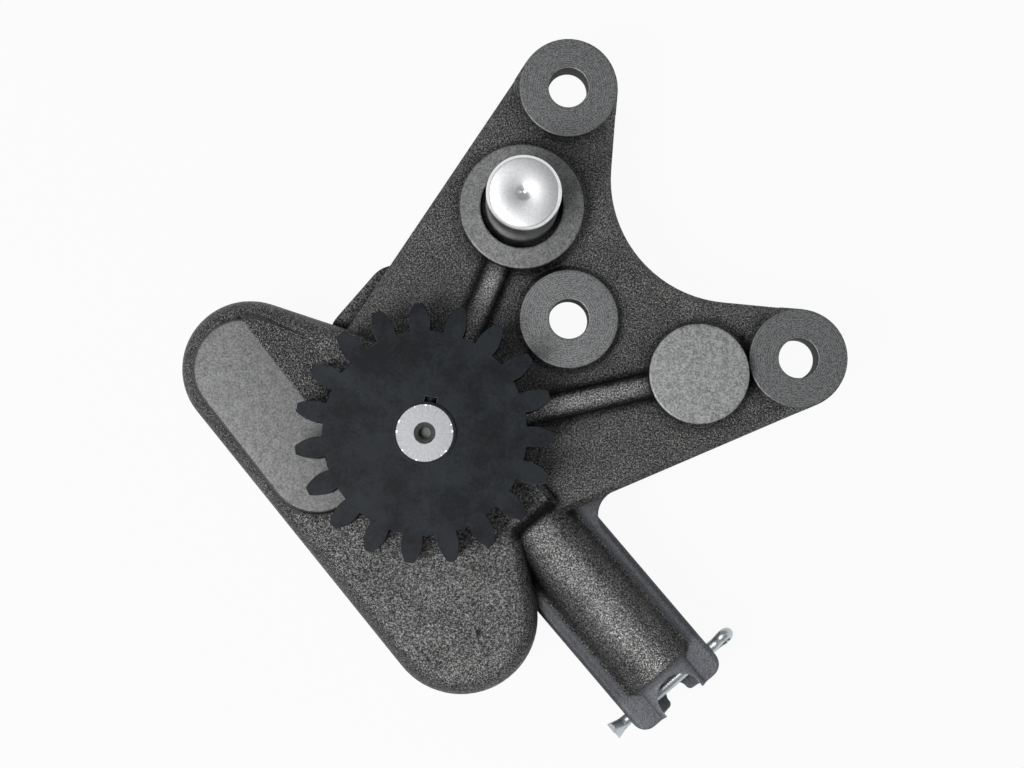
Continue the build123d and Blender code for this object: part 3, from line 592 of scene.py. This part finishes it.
def make_materials():
    made = {
        "cast_iron": cast_iron(),
        "gear_steel": black_oxide(),
        "ground_steel": shaft_steel(),
        "polished_steel": pin_steel(),
        "sintered_steel": plain_steel("sintered_steel", 0.12, (0.22, 0.22, 0.21), 0.45, 0.8),
        "bush_bronze": plain_steel("bush_bronze", (0.30, 0.17, 0.06), (0.48, 0.29, 0.11), 0.4),
        "spring_steel": plain_steel("spring_steel", (0.14, 0.14, 0.15), (0.26, 0.26, 0.28), 0.35),
        "zinc_steel": plain_steel("zinc_steel", (0.44, 0.47, 0.48), (0.64, 0.67, 0.68), 0.36, 0.9,
                                  0.1 * MM),
        "dark_fastener": plain_steel("dark_fastener", (0.03, 0.03, 0.032), (0.07, 0.07, 0.072),
                                     0.42, 0.3),
    }
    for entry in frame["record"]["subparts"]:
        node = nodes[entry["node"]]
        node.data.materials.clear()
        node.data.materials.append(made[entry["material_slot"]])
    return made


# --- shapes ----------------------------------------------------------------------------------
def placed(name, data):
    """A new object in the scene."""
    made = bpy.data.objects.new(name, data)
    bpy.context.scene.collection.objects.link(made)
    return made


def piece(name, points, faces, slot, node, sharp=32.0):
    """A new piece of the pump that rides on its body and stands for a CAD node."""
    mesh = bpy.data.meshes.new(name)
    mesh.from_pydata([tuple(point) for point in points], [], faces)
    mesh.validate()
    mesh.shade_smooth()
    mesh.set_sharp_from_angle(angle=math.radians(sharp))
    made = placed(name, mesh)
    mesh.materials.append(materials[slot])
    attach(made, "body")
    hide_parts(node)
    return made


def middle_of(node):
    low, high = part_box(node)
    return (low.x + high.x) / 2, (low.y + high.y) / 2


def around(place, radius, angle, height):
    """A point at a distance and direction from a vertical axis."""
    x, y = place
    return Vector((x + radius * math.cos(angle), y + radius * math.sin(angle), height))


def lathe(profile, place, steps, start=0.0):
    """Points and faces of a turned form, whose first and last points lie on its axis.

    The profile's entries are (radius, height) pairs, or functions of the angle that give them."""
    points, faces, rings = [], [], []
    for entry in profile:
        first = len(points)
        pole = not callable(entry) and entry[0] == 0.0
        rings.append([first] * steps if pole else list(range(first, first + steps)))
        for k in range(1 if pole else steps):
            turn = full_turn * k / steps
            radius, height = entry(turn) if callable(entry) else entry
            points.append(around(place, radius, turn + start, height))
    for below, above in zip(rings, rings[1:]):
        for k in range(steps):
            corners = [below[k], below[(k + 1) % steps], above[(k + 1) % steps], above[k]]
            faces.append([c for n, c in enumerate(corners) if c not in corners[:n]])
    return points, faces


def tube_faces(count, size):
    """Faces around a row of sections, each of the same number of points, and at both ends."""
    faces = []
    for here in range(0, (count - 1) * size, size):
        there = here + size
        faces += [[here + n, here + (n + 1) % size, there + (n + 1) % size, there + n]
                  for n in range(size)]
    last = (count - 1) * size
    return faces + [list(range(size))[::-1], list(range(last, last + size))]


def swept(path, frames, section):
    """Points and faces of a section carried along a path; frames give its two directions."""
    points = []
    for centre, (first, second) in zip(path, frames):
        points += [centre + first * a + second * b for a, b in section]
    return points, tube_faces(len(path), len(section))


def arc(centre, radius, start, finish, steps):
    """Points of an arc in a plane, from one angle to another."""
    angles = [start + (finish - start) * k / steps for k in range(steps + 1)]
    return [(centre[0] + radius * math.cos(a), centre[1] + radius * math.sin(a)) for a in angles]


# --- pieces ----------------------------------------------------------------------------------
def idler_pin():
    """The pin with its rounded chamfer, the shallow centre in its end and its pressed shank."""
    top, edge = idler_pin_top, idler_pin_radius
    chamfer_foot, chamfer_head = top - idler_chamfer, edge - idler_chamfer
    profile = [(0.0, idler_shank_end), (idler_shank_radius, idler_shank_end),
               (idler_shank_radius, idler_shoulder), (edge, idler_shoulder),
               (edge, chamfer_foot - 0.15 * MM), (edge - 0.05 * MM, chamfer_foot),
               (edge - 0.72 * MM, top - 0.14 * MM), (chamfer_head, top - 0.03 * MM),
               (chamfer_head - 0.15 * MM, top), (2.2 * MM, top), (2.1 * MM, top - 0.02 * MM),
               (1.2 * MM, top - 0.30 * MM), (0.6 * MM, top - 0.55 * MM), (0.0, top - 0.85 * MM)]
    points, faces = lathe(profile, idler_place, 128)
    piece("idler_pin_turned", points, faces, "polished_steel", "idler_pin")


def cover_screw(number):
    """A hexagon screw with a chamfered, slightly dished head."""
    node = f"cover_screw_{number}"
    seat = cover_back - washer_thickness
    crown = seat - screw_head_height
    flat = screw_across / 2
    chamfer_start = 0.95 * flat

    def hexagon(angle):
        return flat / math.cos((angle + math.pi / 6) % (math.pi / 3) - math.pi / 6)

    def chamfer(angle):
        radius = hexagon(angle)
        return radius, crown + (radius - chamfer_start) * math.tan(screw_head_chamfer)

    def head_foot(angle):
        return hexagon(angle), seat - 0.45 * MM

    profile = [(0.0, crown + 0.35 * MM), (0.55 * flat, crown + 0.35 * MM),
               (0.72 * flat, crown + 0.05 * MM), (0.80 * flat, crown), (chamfer_start, crown),
               chamfer, head_foot, (0.97 * flat, seat - 0.4 * MM), (0.97 * flat, seat),
               (screw_radius, seat), (screw_radius, screw_end - 0.8 * MM),
               (screw_radius - 0.8 * MM, screw_end), (0.0, screw_end)]
    points, faces = lathe(profile, middle_of(node), 72, math.radians(17.0 * number))
    piece(f"cover_screw_head_{number}", points, faces, "dark_fastener", node, sharp=24.0)


def split_washer(number):
    """A spring washer, with its slanting gap."""
    node = f"cover_washer_{number}"
    place = middle_of(node)
    inner, outer, soft = washer_bore_radius, washer_radius, washer_rounding
    low, high = cover_back - washer_thickness, cover_back
    section = [(inner, high), (outer - soft, high), (outer, high - soft), (outer, low + soft),
               (outer - soft, low), (inner, low)]
    start, steps = math.radians(70.0 * number) + washer_gap / 2, 80
    points = []
    for k in range(steps + 1):
        for radius, height in section:
            slant = washer_slant * (2 * (height - low) / (high - low) - 1)
            turn = start + (full_turn - washer_gap) * k / steps + slant
            points.append(around(place, radius, turn, height))
    piece(f"cover_spring_washer_{number}", points, tube_faces(steps + 1, len(section)),
          "dark_fastener", node)


def pin_outline():
    """The split pin's wire in its own plane: bent tail, leg, neck and eye, and the same back."""
    neck_centre = (pin_leg_reach, pin_inset + pin_neck_radius)
    reach = pin_eye_radius + pin_neck_radius
    eye_centre = pin_leg_reach + math.sqrt(reach ** 2 - neck_centre[1] ** 2)
    lean = math.atan2(-neck_centre[1], eye_centre - neck_centre[0])
    tail = -pin_tail_reach
    bend_end = (tail - pin_bend_radius * math.sin(pin_bend_angle),
                pin_inset + pin_bend_radius * (1 - math.cos(pin_bend_angle)))
    leg = [(bend_end[0] - pin_tail_length * math.cos(pin_bend_angle),
            bend_end[1] + pin_tail_length * math.sin(pin_bend_angle))]
    quarter = math.pi / 2
    leg += arc((tail, pin_inset + pin_bend_radius), pin_bend_radius,
               -quarter - pin_bend_angle, -quarter, 12)
    leg += [(tail + (pin_leg_reach - tail) * k / 12, pin_inset) for k in range(1, 12)]
    leg += arc(neck_centre, pin_neck_radius, -quarter, lean, 8)
    leg += arc((eye_centre, 0.0), pin_eye_radius, lean + math.pi, 0.0, 14)[1:]
    return leg + [(x, -y) for x, y in leg[-2::-1]]


def split_pin():
    """Two half-round legs, the eye and the bent tails, swept as one wire."""
    up = Vector((0.0, 0.0, 1.0))
    side_way = up * math.cos(pin_roll) + barrel_along * math.sin(pin_roll)
    third_way = barrel_along * math.cos(pin_roll) - up * math.sin(pin_roll)
    centre = barrel_origin + barrel_along * pin_place
    path = [centre + barrel_across * x + side_way * y for x, y in pin_outline()]
    frames = []
    for k in range(len(path)):
        before, after = path[max(k - 1, 0)], path[min(k + 1, len(path) - 1)]
        frames.append((third_way.cross((after - before).normalized()), third_way))
    # half a circle, its two corners rounded off
    corner = pin_wire_radius - pin_corner_in
    section = [(pin_corner_out, -corner)]
    section += [(max(x, pin_least_depth), y)
                for x, y in arc((0.0, 0.0), pin_wire_radius, -math.pi / 2, math.pi / 2, 16)[1:-1]]
    section += [(pin_corner_out, corner)]
    points, faces = swept(path, frames, section)
    piece("split_pin_wire", points, faces, "zinc_steel", "split_pin", sharp=50.0)


def relief_spring():
    """The coil with its two closed ends."""
    per_turn, middle_turns = 40, spring_turns - 2
    closed_pitch = 1.04 * 2 * spring_wire_radius
    start, finish = spring_start + spring_wire_radius, spring_finish - spring_wire_radius
    pitch = (finish - start - 2 * closed_pitch) / middle_turns
    third_way = barrel_across.cross(barrel_along)
    path, frames = [], []
    for k in range(spring_turns * per_turn + 1):
        turns = k / per_turn
        rise = closed_pitch * min(turns, 1.0)
        rise += pitch * min(max(turns - 1.0, 0.0), middle_turns)
        rise += closed_pitch * max(turns - spring_turns + 1, 0.0)
        angle = full_turn * turns
        out = barrel_across * math.cos(angle) + third_way * math.sin(angle)
        path.append(barrel_origin + barrel_along * (start + rise) + out * spring_mean_radius)
        frames.append((out, barrel_along))
    section = [(spring_wire_radius * math.cos(full_turn * n / 12),
                spring_wire_radius * math.sin(full_turn * n / 12)) for n in range(12)]
    points, faces = swept(path, frames, section)
    made = piece("relief_spring_coil", points, faces, "spring_steel", "relief_spring", sharp=60.0)
    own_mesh(made)


def make_pieces():
    idler_pin()
    for number in (1, 2, 3, 4):
        cover_screw(number)
        split_washer(number)
    split_pin()
    relief_spring()


# --- surroundings ----------------------------------------------------------------------------
def studio_floor():
    """A pale floor just under the pump; what shows or mirrors it sees mostly an even glow."""
    mesh = bpy.data.meshes.new("floor")
    height = cad_low.z - floor_gap
    corners = [(-floor_size, -floor_size, height), (floor_size, -floor_size, height),
               (floor_size, floor_size, height), (-floor_size, floor_size, height)]
    mesh.from_pydata(corners, [], [(0, 1, 2, 3)])
    floor = placed("floor", mesh)
    shade = Shade("floor")
    shade.set(Base_Color=rgb(0.55, 0.55, 0.55), Roughness=0.7)
    glow = shade.add("ShaderNodeEmission", {"Color": rgb(1, 1, 1), "Strength": 1.0}).outputs[0]
    both = shade.add("ShaderNodeMixShader")
    share = shade.maths("MULTIPLY", shade.seen(), floor_glow_share)
    for number, value in enumerate((share, shade.shader.outputs[0], glow)):
        shade.put(both.inputs[number], value)
    shade.put(shade.tree.nodes["Material Output"].inputs["Surface"], both.outputs[0])
    mesh.materials.append(shade.made)


def world_light():
    """Pale walls and a dim ceiling, as seen and mirrored; only the plain level lights the pump."""
    world = bpy.data.worlds.new("studio")
    bpy.context.scene.world = world
    world.use_nodes = True
    sky = Nodes(world.node_tree)
    background = sky.tree.nodes["Background"]
    background.inputs["Color"].default_value = rgb(0.95, 0.97, 1.0)
    direction = sky.add("ShaderNodeTexCoord").outputs["Generated"]
    steepness = sky.add("ShaderNodeSeparateXYZ", {"Vector": direction}).outputs["Z"]
    wall = sky.remap(steepness, wall_top, ceiling_start, wall_level - world_light_level, 0.0)
    extra = sky.maths("MULTIPLY", sky.seen(), wall)
    sky.put(background.inputs["Strength"], sky.maths("ADD", extra, world_light_level))


def studio_lights():
    for name, place, target, sides, power in softboxes:
        data = bpy.data.lights.new(name, "AREA")
        data.shape = "RECTANGLE"
        data.size, data.size_y = sides
        data.energy = power
        lamp = placed(name, data)
        lamp.location = place
        lamp.rotation_mode = "QUATERNION"
        direction = Vector(target) - Vector(place)
        lamp.rotation_quaternion = direction.to_track_quat("-Z", "Y")


def photograph_camera():
    data = bpy.data.cameras.new("camera")
    data.lens = camera_lens
    data.sensor_width = sensor_width
    camera = placed("camera", data)
    turn = Matrix((camera_right, camera_up, camera_back)).transposed().to_4x4()
    camera.matrix_world = Matrix.Translation(camera_place) @ turn
    bpy.context.scene.camera = camera


# --- the scene -------------------------------------------------------------------------------
materials = make_materials()
make_pieces()
studio_floor()
world_light()
studio_lights()
photograph_camera()
bpy.context.scene.view_settings.view_transform = "Standard"
